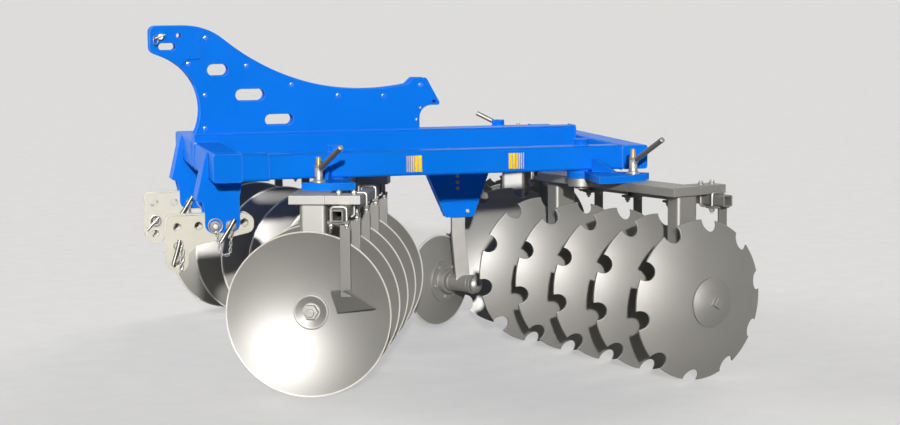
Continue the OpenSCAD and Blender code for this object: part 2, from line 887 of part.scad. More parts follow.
module gang_beam(rear, right) {
  h0 = rear ? rear_hanger : front_hanger;
  p = rear ? rear_p : front_p;
  stud = rear ? rear_stud : front_stud;
  y0 = h0 - beam_over;
  y1 = h0 + (gangs_n - 2) * disc_pitch + beam_over;
  color(silver)
    gang(rear, right) {
      translate([-gang_beam_ahead, y0, gang_beam_z])
        cube([gang_beam_ahead + gang_beam_behind, y1 - y0, gang_beam_t]);
      for (y = [h0, h0 + (gangs_n - 2) * disc_pitch])
        translate([0, y - tail_w / 2, gang_beam_z])
          cube([gang_beam_behind + tail_len, tail_w, gang_beam_t]);
      translate([p[0], p[1], gang_beam_z]) {
        cylinder(d = pivot_tube_d + 40, h = gang_beam_t);
        translate([0, 0, -10])
          cylinder(d = pivot_d + 14, h = 11);
        cylinder(r = pivot_r, h = pivot_top - gang_beam_z - 8);
      }
      if (rear)
        translate([p[0], p[1] - 60, gang_beam_z])
          cube([-p[0], 120, gang_beam_t]);
      translate([stud[0], stud[1], gang_beam_z + 2])
        cylinder(d = stud_d, h = nut_z + nut_h + stud_out - gang_beam_z);
    }
}

module hangers(rear, right) {
  h0 = rear ? rear_hanger : front_hanger;
  color(silver)
    gang(rear, right)
      for (y = [h0, h0 + (gangs_n - 2) * disc_pitch])
        translate([0, y, 0])
          difference() {
            union() {
              translate([0, 0, axis_z])
                linear_extrude(gang_beam_z - axis_z)
                  round_rect(hanger_x, hanger_y, hanger_round);
              translate([0, housing_len / 2, axis_z])
                rotate([90, 0, 0])
                  cylinder(d = housing_d, h = housing_len);
            }
            translate([-hanger_x / 2 + hanger_wall, -hanger_y / 2 + hanger_wall, axis_z + housing_d / 2 + 10])
              cube([hanger_x - 2 * hanger_wall, hanger_y - 2 * hanger_wall, gang_beam_z]);
            translate([0, housing_len, axis_z])
              rotate([90, 0, 0])
                cylinder(r = spool_d / 2 + run_fit, h = 2 * housing_len);
          }
}

module clamp_nut(rear, right) {
  stud = rear ? rear_stud : front_stud;
  color(steel)
    gang(rear, right)
      translate([stud[0], stud[1], nut_z])
        difference() {
          union() {
            cylinder(d = nut_flange_d, h = nut_flange_t);
            cylinder(d = nut_d, h = nut_h);
            translate([0, 0, handle_z])
              rotate([0, 0, (rear ? -gang_angle : gang_angle) + (right ? 195 : -75)])
                rotate([0, handle_lean, 0])
                  cylinder(d = handle_d, h = handle_len);
          }
          translate([0, 0, -1])
            cylinder(d = stud_d, h = nut_h + stud_out);
        }
}

// Square bar, and for each disc a clamp pad, an arm and a leaning blade
module scrapers(rear, right) {
  color(silver)
    gang(rear, right)
      translate([0, rear ? span : 0, 0])
        mirror([0, rear ? 1 : 0, 0]) {
          translate([bar_x, -62, bar_top - bar_side / 2])
            rotate([-90, 0, 0])
              linear_extrude(span + 90)
                difference() {
                  round_rect(bar_side, bar_side, 7);
                  round_rect(bar_side - 2 * bar_wall, bar_side - 2 * bar_wall, 3);
                }
          for (i = [0:gangs_n - 1])
            translate([0, i * disc_pitch, 0])
              scraper();
        }
}

module scraper() {
  low = bar_top - bar_side;
  blade_out = 0.85 * disc_r;
  foot = bowl(blade_in) - blade_gap;
  tip = bowl(blade_out) - blade_gap;
  len = norm([blade_out - blade_in, foot - tip]);
  slope_h = blade_h / cos(blade_tilt);
  arm_low = axis_z + 0.7 * blade_h;
  translate([bar_x - arm_pad_len / 2, -arm_pad_w - 4, low - arm_pad_t])
    cube([arm_pad_len, arm_pad_w, arm_pad_t]);
  translate([bar_x + bar_side / 2 - arm_w / 2, -arm_out - arm_t, arm_low])
    cube([arm_w, arm_t, low - arm_pad_t / 2 - arm_low]);
  translate([blade_in, foot, axis_z])
    rotate([0, 0, atan2(tip - foot, blade_out - blade_in)])
      rotate([90 + blade_tilt, 0, 0])
        linear_extrude(blade_t)
          polygon([[0, 0.04 * slope_h], [len, 0.33 * slope_h], [0.43 * len, slope_h], [0, 0.9 * slope_h]]);
}

centre_beam();
front_cross();
rear_cross();
side_beam(false);  // side_beam_left
side_beam(true);  // side_beam_right
clamp_plate(false, false);  // clamp_plate_front_left
clamp_plate(false, true);  // clamp_plate_front_right
clamp_plate(true, false);  // clamp_plate_rear_left
clamp_plate(true, true);  // clamp_plate_rear_right
tower_plates();
tower_spacers();
tower_head();
hitch_bracket(false);  // hitch_bracket_left
hitch_bracket(true);  // hitch_bracket_right
hitch_plates(false);  // hitch_plates_left
hitch_plates(true);  // hitch_plates_right
hitch_pins();
centre_bracket();
centre_arm();
centre_hub();
centre_disc();
gang_beam(false, false);  // gang_beam_front_left
gang_beam(false, true);  // gang_beam_front_right
gang_beam(true, false);  // gang_beam_rear_left
gang_beam(true, true);  // gang_beam_rear_right
hangers(false, false);  // hangers_front_left
hangers(false, true);  // hangers_front_right
hangers(true, false);  // hangers_rear_left
hangers(true, true);  // hangers_rear_right
clamp_nut(false, false);  // clamp_nut_front_left
clamp_nut(false, true);  // clamp_nut_front_right
clamp_nut(true, false);  // clamp_nut_rear_left
clamp_nut(true, true);  // clamp_nut_rear_right
scrapers(false, false);  // scrapers_front_left
scrapers(false, true);  // scrapers_front_right
scrapers(true, false);  // scrapers_rear_left
scrapers(true, true);  // scrapers_rear_right
discs(false, false);  // discs_front_left
discs(false, true);  // discs_front_right
discs(true, false);  // discs_rear_left
discs(true, true);  // discs_rear_right
axle(false, false);  // axle_front_left
axle(false, true);  // axle_front_right
axle(true, false);  // axle_rear_left
axle(true, true);  // axle_rear_right
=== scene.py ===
import json
import math

import bmesh
import bpy
from mathutils import Matrix, Vector


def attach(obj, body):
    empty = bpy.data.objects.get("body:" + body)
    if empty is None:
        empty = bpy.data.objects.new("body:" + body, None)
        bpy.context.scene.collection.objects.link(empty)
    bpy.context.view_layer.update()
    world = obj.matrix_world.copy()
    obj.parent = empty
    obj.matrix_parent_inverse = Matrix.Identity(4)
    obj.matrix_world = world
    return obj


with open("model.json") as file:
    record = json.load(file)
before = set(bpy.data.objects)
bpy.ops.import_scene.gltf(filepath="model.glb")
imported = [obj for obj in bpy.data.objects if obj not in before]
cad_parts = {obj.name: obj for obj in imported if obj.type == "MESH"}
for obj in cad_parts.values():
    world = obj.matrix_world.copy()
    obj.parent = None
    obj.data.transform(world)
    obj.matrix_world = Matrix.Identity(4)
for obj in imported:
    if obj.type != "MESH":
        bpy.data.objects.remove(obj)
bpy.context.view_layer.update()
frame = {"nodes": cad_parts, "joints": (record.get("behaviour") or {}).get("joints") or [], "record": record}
scene = bpy.context.scene
scene.view_settings.view_transform = "Standard"

# Sizes are in millimetres, as in the part's source; every piece is scaled to metres once
MM = 0.001
GANGS = ("front_left", "front_right", "rear_left", "rear_right")
SIDES = ("left", "right")
joints = {joint["name"]: joint for joint in frame["joints"]}

# Frame
FRONT_PIVOT_X = -130
REAR_PIVOT_X = 785
BEAM_Y = 560
BEAM_SIDE = 88
BEAM_Z = 699
BEAM_ROUND = 10
SIDE_TOP = BEAM_Z + BEAM_SIDE
PIVOT_TUBE_R = 26
CROSS_SIDE = 100
CROSS_FRONT = -567
CROSS_BACK = CROSS_FRONT + CROSS_SIDE
CROSS_Z = BEAM_Z + BEAM_SIDE / 2
SLEEVE_END = CROSS_BACK + 95
REAR_FRONT = 930
CENTRE_W = 100
CENTRE_H = 122
CENTRE_Z = BEAM_Z + 2
CENTRE_TOP = CENTRE_Z + CENTRE_H

# Gangs
DISC_R = 280
DISC_PITCH = 230
DISC_GAPS = 4
SPAN = DISC_GAPS * DISC_PITCH
AXLE_Z = DISC_R
GANG_BEAM_Z = 639
GANG_BEAM_TOP = GANG_BEAM_Z + 30
GANG_BEAM_BEHIND = 45
TAIL_HALF = 42
HANGER_IN = {"front": 143, "rear": 85}
HANGER_STEP = 3 * DISC_PITCH
HANGER_HALF_X = 45
HANGER_HALF_Y = 31
HOUSING_R = 52
HOUSING_HALF = 30
SCREW_CIRCLE_R = 42
BAR_X = 112
BAR_SIDE = 40
BAR_LOW = GANG_BEAM_Z - BAR_SIDE
PAD_Y = -26
PAD_T = 8
U_BOLT_R = 5
STUD_X = -8
STUD_Y = {"front": 700, "rear": 733}
STUD_R = 8
NUT_Z = GANG_BEAM_TOP + 26
NUT_R = 14
NUT_FLANGE_R = 23
NUT_TOP = NUT_Z + 58
STUD_TOP = NUT_TOP + 30
HANDLE_FOOT = 42
HANDLE_R = 9.5
HANDLE_LEN = 200
HANDLE_LEAN = math.radians(63)
HANDLE_TURN = {"left": -75, "right": 195}
GANG_ANGLE = {"front": 20, "rear": -20}

# Tower, hitch and centre disc
TOWER_FACE = 39
HEAD_FACE = 47
TOWER_FOOT = (CROSS_FRONT, CENTRE_TOP)
TOWER_SPOTS = ((54, 359), (-12, 263), (206, 253), (376, 180), (554, 135), (730, 131), (877, 169),
               (48, 145), (46, 21))
TOWER_WELD = (CROSS_FRONT + 9, CROSS_FRONT + 869)
TOP_HOLE = (CROSS_FRONT - 117, CENTRE_TOP + 368)
HITCH_Y = 412
HITCH_FACE = HITCH_Y + 41
CHEEK_OUT = 53
HITCH_ROW_Z = BEAM_Z - 172
PIN_X = (CROSS_FRONT + 20, CROSS_FRONT + 76)
FOOT_HOLE = (CROSS_FRONT - 113, HITCH_ROW_Z - 68)
ARM_BOLTS = ((453, 637), (453, 613), (453, 589))
STOP_BOLT = (493, 499)
PLATE_WELD = (312, 598)
CENTRE_DISC_R = 180
HUB_Y = -10
PLATE_OUT = 24.5
HUB_R = 33
FLANGE_FACE = -90
FLANGE_BOLT_R = 64

X_SHIFT = joints["swivel_front_left"]["pos_m"][0] / MM - FRONT_PIVOT_X


def frame_place(right=False):
    """Frame sizes in millimetres to metres, mirrored for the right hand side."""
    mirror = Matrix.Scale(-1, 4, (0, 1, 0)) if right else Matrix()
    return Matrix.Scale(MM, 4) @ Matrix.Translation((X_SHIFT, 0, 0)) @ mirror


def gang_axes(gang):
    """Origin under the outer disc, the way back from the axle and the way in along it."""
    joint = joints["roll_" + gang]
    origin = Vector(joint["pos_m"])
    inward = Vector(joint["axis"])
    if inward.y * origin.y > 0:
        inward = -inward
    back = Vector((abs(inward.y), -inward.x * math.copysign(1, inward.y), 0))
    return origin, back, inward


def gang_place(gang):
    """Gang sizes in millimetres: x back from the axle, y in along it, z up."""
    origin, back, inward = gang_axes(gang)
    turn = Matrix((back, inward, (0, 0, 1))).transposed().to_4x4()
    return Matrix.Translation((origin.x, origin.y, 0)) @ turn @ Matrix.Scale(MM, 4)


def gang_kind(gang):
    return gang.split("_")[0]


def hanger_rows(gang):
    """How far in along the axle the two hangers of a gang stand."""
    first = HANGER_IN[gang_kind(gang)]
    return first, first + HANGER_STEP


def stud_row(gang):
    """How far in along the axle the clamp stud of a gang stands."""
    origin, _, inward = gang_axes(gang)
    return (abs(origin.y) / MM - STUD_Y[gang_kind(gang)]) / abs(inward.y)


# Shapes are pairs of points and faces

def turned(profile, steps=24):
    """A closed body turned about z from radius and height pairs."""
    points, faces, rings = [], [], []
    for radius, height in profile:
        count = steps if radius > 0 else 1
        rings.append([len(points) + k for k in range(count)])
        for k in range(count):
            angle = 2 * math.pi * k / steps
            points.append(Vector((radius * math.cos(angle), radius * math.sin(angle), height)))
    for low, high in zip(rings, rings[1:]):
        for k in range(steps):
            after = (k + 1) % steps
            corners = [low[k % len(low)], low[after % len(low)], high[after % len(high)], high[k % len(high)]]
            faces.append(list(dict.fromkeys(corners)))
    for ring in (rings[0], rings[-1]):
        if len(ring) > 1:
            faces.append(ring)
    return points, faces


def swept(path, radius, sides=8, loop=False):
    """A round bar along a path; radius is one number or one for each point."""
    path = [Vector(p) for p in path]
    count = len(path)
    radii = radius if isinstance(radius, list) else [radius] * count
    ways = []
    for k in range(count):
        before = path[k - 1] if loop or k else path[k]
        after = path[(k + 1) % count] if loop or k < count - 1 else path[k]
        ways.append((after - before).normalized())
    side = ways[0].orthogonal().normalized()
    points, faces = [], []
    for k in range(count):
        side = (side - ways[k] * side.dot(ways[k])).normalized()
        other = ways[k].cross(side)
        for n in range(sides):
            angle = 2 * math.pi * n / sides
            points.append(path[k] + (side * math.cos(angle) + other * math.sin(angle)) * radii[k])
    for k in range(count if loop else count - 1):
        here, there = k * sides, ((k + 1) % count) * sides
        for n in range(sides):
            after = (n + 1) % sides
            faces.append([here + n, here + after, there + after, there + n])
    if not loop:
        faces.append(list(range(sides)))
        faces.append(list(range((count - 1) * sides, count * sides)))
    return points, faces


def nut(across, height):
    """A hexagon nut or bolt head with its corners turned off at both ends."""
    corner = across / math.sqrt(3)
    chamfer = height * 0.12
    points, faces = [], []
    for level, is_hexagon in ((0, False), (chamfer, True), (height - chamfer, True), (height, False)):
        for k in range(12):
            angle = math.pi * k / 6
            radius = corner if is_hexagon and k % 2 == 0 else across / 2
            points.append(Vector((radius * math.cos(angle), radius * math.sin(angle), level)))
    for ring in range(3):
        for k in range(12):
            after = (k + 1) % 12
            faces.append([ring * 12 + k, ring * 12 + after, ring * 12 + 12 + after, ring * 12 + 12 + k])
    faces.append(list(range(12)))
    faces.append(list(range(36, 48)))
    return points, faces


def block(low, high, edge):
    """A box with its edges broken."""
    bm = bmesh.new()
    bmesh.ops.create_cube(bm, size=1)
    low, high = Vector(low), Vector(high)
    for vert in bm.verts:
        vert.co = Vector(((low + high) / 2)[i] + vert.co[i] * (high - low)[i] for i in range(3))
    bmesh.ops.bevel(bm, geom=list(bm.edges), offset=edge, segments=2, affect="EDGES", profile=0.5)
    bm.verts.index_update()
    shape = [v.co.copy() for v in bm.verts], [[v.index for v in f.verts] for f in bm.faces]
    bm.free()
    return shape


def moved(shape, place):
    points, faces = shape
    return [place @ p for p in points], faces


def pointing(at, towards):
    """Places a shape's z along a direction."""
    turn = Vector(towards).to_track_quat("Z", "Y").to_matrix().to_4x4()
    return Matrix.Translation(Vector(at)) @ turn


def bent(corners, radius, steps=6):
    """A path through corners, each one rounded off."""
    corners = [Vector(c) for c in corners]
    path = [corners[0]]
    for before, here, after in zip(corners, corners[1:], corners[2:]):
        start = here + (before - here).normalized() * radius
        end = here + (after - here).normalized() * radius
        for k in range(steps + 1):
            t = k / steps
            path.append(start * (1 - t) ** 2 + here * 2 * t * (1 - t) + end * t ** 2)
    path.append(corners[-1])
    return path


def circle(radius, steps=24):
    angles = [2 * math.pi * k / steps for k in range(steps)]
    return [Vector((radius * math.cos(angle), radius * math.sin(angle), 0)) for angle in angles]


def spaced(path, step, loop=False):
    """Points at an even step along a path."""
    path = [Vector(p) for p in path]
    if loop:
        path.append(path[0])
    lengths = [(b - a).length for a, b in zip(path, path[1:])]
    total = sum(lengths)
    count = max(2, round(total / step))
    points, piece_no, passed = [], 0, 0.0
    for k in range(count + (0 if loop else 1)):
        want = total * k / count
        while piece_no < len(lengths) - 1 and passed + lengths[piece_no] < want:
            passed += lengths[piece_no]
            piece_no += 1
        share = min(1.0, (want - passed) / max(lengths[piece_no], 1e-9))
        points.append(path[piece_no].lerp(path[piece_no + 1], share))
    return points


WELD_STEP = 3.5


def weld(path, size=3.5, loop=False):
    """A welded bead with its ripples."""
    points = spaced(path, WELD_STEP, loop)
    radii = [size * (0.8 + 0.2 * (k % 2)) * (0.93 + 0.07 * math.sin(k * 1.7)) for k in range(len(points))]
    if not loop:
        radii[0] = radii[-1] = size * 0.3
    return swept(points, radii, sides=6, loop=loop)


def section_ring(half_y, half_z, corner, x, y=0, z=0):
    """The outline of a rounded tube, square to x."""
    path = []
    for sy, sz, start in ((1, 1, 0), (-1, 1, 90), (-1, -1, 180), (1, -1, 270)):
        for k in range(4):
            angle = math.radians(start + 30 * k)
            path.append(Vector((x, y + sy * (half_y - corner) + corner * math.cos(angle),
                                z + sz * (half_z - corner) + corner * math.sin(angle))))
    return path


def chain(path, pitch, width, wire):
    """Welded links along a path, each turned a quarter from the last."""
    points = spaced(path, pitch)
    half = pitch / 2 + wire
    shapes = []
    for k, (a, b) in enumerate(zip(points, points[1:])):
        link = []
        for n in range(12):
            angle = 2 * math.pi * n / 12
            end = math.copysign(half - width / 2 + wire, math.cos(angle))
            link.append(Vector(((width / 2 - wire / 2) * math.sin(angle) * (1 if k % 2 else 0),
                                (width / 2 - wire / 2) * math.sin(angle) * (0 if k % 2 else 1),
                                end + (width / 2 - wire / 2) * math.cos(angle))))
        shapes.append(moved(swept(link, wire, sides=6, loop=True), pointing((a + b) / 2, b - a)))
    return shapes


def piece(name, shapes, place, body, finish):
    """Makes one joined mesh of shapes, and lets it ride on a body."""
    bm = bmesh.new()
    for points, faces in shapes:
        verts = [bm.verts.new(place @ Vector(p)) for p in points]
        for face in faces:
            bm.faces.new([verts[i] for i in face])
    bmesh.ops.recalc_face_normals(bm, faces=bm.faces)
    mesh = bpy.data.meshes.new(name)
    bm.to_mesh(mesh)
    bm.free()
    mesh.shade_smooth()
    mesh.set_sharp_from_angle(angle=math.radians(38))
    mesh.materials.append(finish)
    made = bpy.data.objects.new(name, mesh)
    scene.collection.objects.link(made)
    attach(made, body)
    return made


# Node groups that several finishes share

def add(tree, kind, **settings):
    node = tree.nodes.new(kind)
    for key, value in settings.items():
        setattr(node, key, value)
    return node


def new_group(name, inputs, outputs):
    tree = bpy.data.node_groups.new(name, "ShaderNodeTree")
    for label, kind, value in inputs:
        tree.interface.new_socket(label, in_out="INPUT", socket_type=kind).default_value = value
    for label, kind in outputs:
        tree.interface.new_socket(label, in_out="OUTPUT", socket_type=kind)
    return tree, add(tree, "NodeGroupInput").outputs, add(tree, "NodeGroupOutput").inputs


def noise(tree, scale, detail, vector):
    node = add(tree, "ShaderNodeTexNoise")
    node.inputs["Scale"].default_value = scale
    node.inputs["Detail"].default_value = detail
    tree.links.new(vector, node.inputs["Vector"])
    return node.outputs["Fac"]


def ranged(tree, value, low, high, to_low=0.0, to_high=1.0):
    node = add(tree, "ShaderNodeMapRange")
    for label, number in (("From Min", low), ("From Max", high), ("To Min", to_low), ("To Max", to_high)):
        node.inputs[label].default_value = number
    tree.links.new(value, node.inputs["Value"])
    return node.outputs["Result"]


def sum_up(tree, operation, first, second):
    node = add(tree, "ShaderNodeMath", operation=operation)
    for socket, value in zip(node.inputs, (first, second)):
        if isinstance(value, (int, float)):
            socket.default_value = value
        else:
            tree.links.new(value, socket)
    return node.outputs[0]


def softened_edges():
    """Rounded corners in the shading, and a mask along them."""
    tree, given, result = new_group("softened_edges", [("Radius", "NodeSocketFloat", 0.003)],
                                    [("Normal", "NodeSocketVector"), ("Edge", "NodeSocketFloat")])
    bevel = add(tree, "ShaderNodeBevel", samples=6)
    tree.links.new(given["Radius"], bevel.inputs["Radius"])
    surface = add(tree, "ShaderNodeNewGeometry")
    agree = add(tree, "ShaderNodeVectorMath", operation="DOT_PRODUCT")
    tree.links.new(bevel.outputs["Normal"], agree.inputs[0])
    tree.links.new(surface.outputs["Normal"], agree.inputs[1])
    tree.links.new(bevel.outputs["Normal"], result["Normal"])
    tree.links.new(ranged(tree, agree.outputs["Value"], 0.99, 0.8), result["Edge"])
    return tree


def sprayed_coat():
    """Orange peel, patches of thicker coat and dull places of sprayed paint."""
    tree, given, result = new_group("sprayed_coat", [("Peel Scale", "NodeSocketFloat", 420.0)],
                                    [("Tone", "NodeSocketFloat"), ("Dull", "NodeSocketFloat"),
                                     ("Height", "NodeSocketFloat")])
    place = add(tree, "ShaderNodeTexCoord").outputs["Object"]
    tree.links.new(ranged(tree, noise(tree, 3.2, 3.0, place), 0.3, 0.7), result["Tone"])
    tree.links.new(ranged(tree, noise(tree, 26.0, 4.0, place), 0.35, 0.7), result["Dull"])
    peel = add(tree, "ShaderNodeTexNoise")
    peel.inputs["Detail"].default_value = 2.0
    tree.links.new(place, peel.inputs["Vector"])
    tree.links.new(given["Peel Scale"], peel.inputs["Scale"])
    tree.links.new(peel.outputs["Fac"], result["Height"])
    return tree


def settled_dust():
    """Fine dust on what faces up."""
    tree, given, result = new_group("settled_dust", [("Amount", "NodeSocketFloat", 0.2)],
                                    [("Mask", "NodeSocketFloat")])
    surface = add(tree, "ShaderNodeNewGeometry")
    split = add(tree, "ShaderNodeSeparateXYZ")
    tree.links.new(surface.outputs["Normal"], split.inputs[0])
    place = add(tree, "ShaderNodeTexCoord").outputs["Object"]
    patchy = ranged(tree, noise(tree, 14.0, 6.0, place), 0.38, 0.72)
    upward = ranged(tree, split.outputs["Z"], 0.5, 1.0)
    tree.links.new(sum_up(tree, "MULTIPLY", sum_up(tree, "MULTIPLY", upward, patchy), given["Amount"]),
                   result["Mask"])
    return tree


RIM_FADE_IN = 5.0 * MM
RIM_FULL = 3.8 * MM


def turned_rings():
    """Rings about an axle: faint marks of spinning, and a mask of what lies at or past the rim."""
    tree, given, result = new_group("turned_rings", [("Centre", "NodeSocketVector", (0, 0, 0)),
                                                     ("Axis", "NodeSocketVector", (0, 1, 0)),
                                                     ("Rim Radius", "NodeSocketFloat", 0.28)],
                                    [("Rings", "NodeSocketFloat"), ("Rim", "NodeSocketFloat")])
    place = add(tree, "ShaderNodeTexCoord").outputs["Object"]
    away = add(tree, "ShaderNodeVectorMath", operation="SUBTRACT")
    tree.links.new(place, away.inputs[0])
    tree.links.new(given["Centre"], away.inputs[1])
    across = add(tree, "ShaderNodeVectorMath", operation="CROSS_PRODUCT")
    tree.links.new(away.outputs[0], across.inputs[0])
    tree.links.new(given["Axis"], across.inputs[1])
    radius = add(tree, "ShaderNodeVectorMath", operation="LENGTH")
    tree.links.new(across.outputs[0], radius.inputs[0])
    marks = add(tree, "ShaderNodeTexNoise", noise_dimensions="1D")
    marks.inputs["Scale"].default_value = 90.0
    marks.inputs["Detail"].default_value = 5.0
    tree.links.new(radius.outputs["Value"], marks.inputs["W"])
    tree.links.new(ranged(tree, marks.outputs["Fac"], 0.3, 0.7), result["Rings"])
    short = sum_up(tree, "SUBTRACT", given["Rim Radius"], radius.outputs["Value"])
    tree.links.new(ranged(tree, short, RIM_FADE_IN, RIM_FULL), result["Rim"])
    return tree


EDGES = softened_edges()
COAT = sprayed_coat()
DUST = settled_dust()
RINGS = turned_rings()


# Finishes

def place_group(tree, group, **values):
    node = add(tree, "ShaderNodeGroup", node_tree=group)
    for label, value in values.items():
        node.inputs[label.replace("_", " ")].default_value = value
    return node


def blended(tree, factor, first, second):
    """Mixes two colours, each one a colour or a socket, by a mask."""
    node = add(tree, "ShaderNodeMix", data_type="RGBA")
    tree.links.new(factor, node.inputs["Factor"])
    for label, value in (("A", first), ("B", second)):
        socket = [s for s in node.inputs if s.name == label and s.type == "RGBA"][0]
        if isinstance(value, tuple):
            socket.default_value = (*value, 1)
        else:
            tree.links.new(value, socket)
    return [s for s in node.outputs if s.type == "RGBA"][0]


DUST_COLOUR = (0.52, 0.48, 0.42)
BLUE_DEEP = (0.002, 0.165, 0.75)
BLUE_LIGHT = (0.004, 0.18, 0.81)
# Lighter blue along edges: a painted highlight.
BLUE_EDGE_HIGHLIGHT = (0.20, 0.46, 0.96)
SILVER_DEEP = (0.155, 0.153, 0.141)
SILVER_LIGHT = (0.19, 0.187, 0.172)
# Lighter silver along edges: a painted highlight.
SILVER_EDGE_HIGHLIGHT = (0.36, 0.35, 0.32)
SILVER_SPECULAR = 0.65
# Lighter colour at the rims of the front and centre discs: a painted highlight.
RIM_HIGHLIGHT = (0.62, 0.60, 0.54)


def new_finish(name, metallic, specular):
    finish = bpy.data.materials.new(name)
    finish.use_nodes = True
    tree = finish.node_tree
    shader = tree.nodes["Principled BSDF"]
    shader.inputs["Metallic"].default_value = metallic
    shader.inputs["Specular IOR Level"].default_value = specular
    return finish, tree, shader


def bumped(tree, shader, height, normal, depth, strength=0.35):
    bump = add(tree, "ShaderNodeBump")
    bump.inputs["Strength"].default_value = strength
    bump.inputs["Distance"].default_value = depth
    tree.links.new(height, bump.inputs["Height"])
    tree.links.new(normal, bump.inputs["Normal"])
    tree.links.new(bump.outputs["Normal"], shader.inputs["Normal"])


def paint(name, deep, light, edge_highlight, rough, metallic=0.0, specular=0.3, dust=0.15, edge_radius=0.003):
    """Sprayed paint: patchy tone, a painted highlight along the edges, dust on top and orange peel."""
    finish, tree, shader = new_finish(name, metallic, specular)
    coat = place_group(tree, COAT)
    edges = place_group(tree, EDGES, Radius=edge_radius)
    settled = place_group(tree, DUST, Amount=dust)
    colour = blended(tree, coat.outputs["Tone"], deep, light)
    # A lighter colour is mixed in along the edges: a painted highlight.
    colour = blended(tree, sum_up(tree, "MULTIPLY", edges.outputs["Edge"], 0.45), colour, edge_highlight)
    colour = blended(tree, settled.outputs["Mask"], colour, DUST_COLOUR)
    tree.links.new(colour, shader.inputs["Base Color"])
    dull = ranged(tree, coat.outputs["Dull"], 0.0, 1.0, rough[0], rough[1])
    tree.links.new(sum_up(tree, "ADD", dull, sum_up(tree, "MULTIPLY", settled.outputs["Mask"], 0.4)),
                   shader.inputs["Roughness"])
    bumped(tree, shader, coat.outputs["Height"], edges.outputs["Normal"], 0.0004)
    return finish


def disc_finish(name, centre, axis, rim_radius, rim_colour):
    """Silver on a dished disc, with faint rings about its axle, a painted highlight along its edges and a rim
    colour that paints a highlight where it is lighter.
    """
    finish, tree, shader = new_finish(name, 0.0, SILVER_SPECULAR)
    coat = place_group(tree, COAT, Peel_Scale=520.0)
    edges = place_group(tree, EDGES, Radius=0.0025)
    rings = place_group(tree, RINGS, Centre=centre, Axis=axis, Rim_Radius=rim_radius)
    tone = sum_up(tree, "ADD", sum_up(tree, "MULTIPLY", coat.outputs["Tone"], 0.92),
                  sum_up(tree, "MULTIPLY", rings.outputs["Rings"], 0.08))
    colour = blended(tree, tone, SILVER_DEEP, SILVER_LIGHT)
    # Lighter silver along the edges: a painted highlight.
    colour = blended(tree, sum_up(tree, "MULTIPLY", edges.outputs["Edge"], 0.5), colour, SILVER_EDGE_HIGHLIGHT)
    # The rim colour is mixed in at and past the rim: a painted highlight where it is lighter than the silver.
    colour = blended(tree, rings.outputs["Rim"], colour, rim_colour)
    tree.links.new(colour, shader.inputs["Base Color"])
    tree.links.new(ranged(tree, tone, 0.0, 1.0, 0.48, 0.53), shader.inputs["Roughness"])
    bumped(tree, shader, coat.outputs["Height"], edges.outputs["Normal"], 0.0003, 0.25)
    return finish


def clamp_finish(name, centre):
    """Bright zinc on the nut round a clamp stud, dull dark steel on its handle."""
    finish, tree, shader = new_finish(name, 0.3, 0.3)
    coat = place_group(tree, COAT)
    edges = place_group(tree, EDGES, Radius=0.0015)
    rings = place_group(tree, RINGS, Centre=centre, Axis=(0, 0, 1), Rim_Radius=(NUT_FLANGE_R + 5) * MM)
    bright = blended(tree, coat.outputs["Tone"], (0.34, 0.34, 0.325), (0.46, 0.455, 0.43))
    dark = blended(tree, coat.outputs["Tone"], (0.085, 0.083, 0.08), (0.12, 0.118, 0.112))
    tree.links.new(blended(tree, rings.outputs["Rim"], bright, dark), shader.inputs["Base Color"])
    tree.links.new(ranged(tree, rings.outputs["Rim"], 0.0, 1.0, 0.32, 0.5), shader.inputs["Roughness"])
    bumped(tree, shader, coat.outputs["Height"], edges.outputs["Normal"], 0.0004)
    return finish


BLUE = paint("blue_paint", BLUE_DEEP, BLUE_LIGHT, BLUE_EDGE_HIGHLIGHT, (0.2, 0.26), specular=0.01, dust=0.02,
             edge_radius=0.004)
BLUE_BEAD = paint("blue_paint_on_welds", BLUE_DEEP, BLUE_LIGHT, BLUE_EDGE_HIGHLIGHT, (0.14, 0.2), specular=0.5,
                  dust=0.0, edge_radius=0.001)
SILVER = paint("silver_paint", SILVER_DEEP, SILVER_LIGHT, SILVER_EDGE_HIGHLIGHT, (0.44, 0.54), specular=SILVER_SPECULAR,
               dust=0.06)
DULL_SILVER = paint("dull_silver_paint", SILVER_DEEP, SILVER_LIGHT, SILVER_EDGE_HIGHLIGHT, (0.55, 0.62), specular=0.2,
                    dust=0.06)
CREAM = paint("cream_primer", (0.54, 0.52, 0.44), (0.62, 0.60, 0.52), (0.76, 0.74, 0.66), (0.5, 0.6),
              specular=0.15, dust=0.1)
STEEL = paint("dark_steel", (0.07, 0.069, 0.066), (0.12, 0.118, 0.112), (0.30, 0.29, 0.27), (0.36, 0.5),
              metallic=0.25, dust=0.1, edge_radius=0.0015)
ZINC = paint("bright_zinc", (0.17, 0.172, 0.167), (0.26, 0.26, 0.25), (0.46, 0.455, 0.435), (0.4, 0.5),
             metallic=0.3, dust=0.05, edge_radius=0.001)
YELLOW_ZINC = paint("yellow_zinc", (0.34, 0.22, 0.07), (0.48, 0.33, 0.13), (0.66, 0.52, 0.28), (0.36, 0.46),
                    metallic=0.3, dust=0.05, edge_radius=0.001)
YELLOW = paint("yellow_foil", (0.84, 0.56, 0.002), (0.88, 0.60, 0.004), (0.88, 0.62, 0.008), (0.4, 0.5),
               specular=0.05, dust=0.0, edge_radius=0.0002)
FINISHES = {"frame_blue": BLUE, "gang_silver": SILVER, "hitch_cream": CREAM, "bare_steel": STEEL}

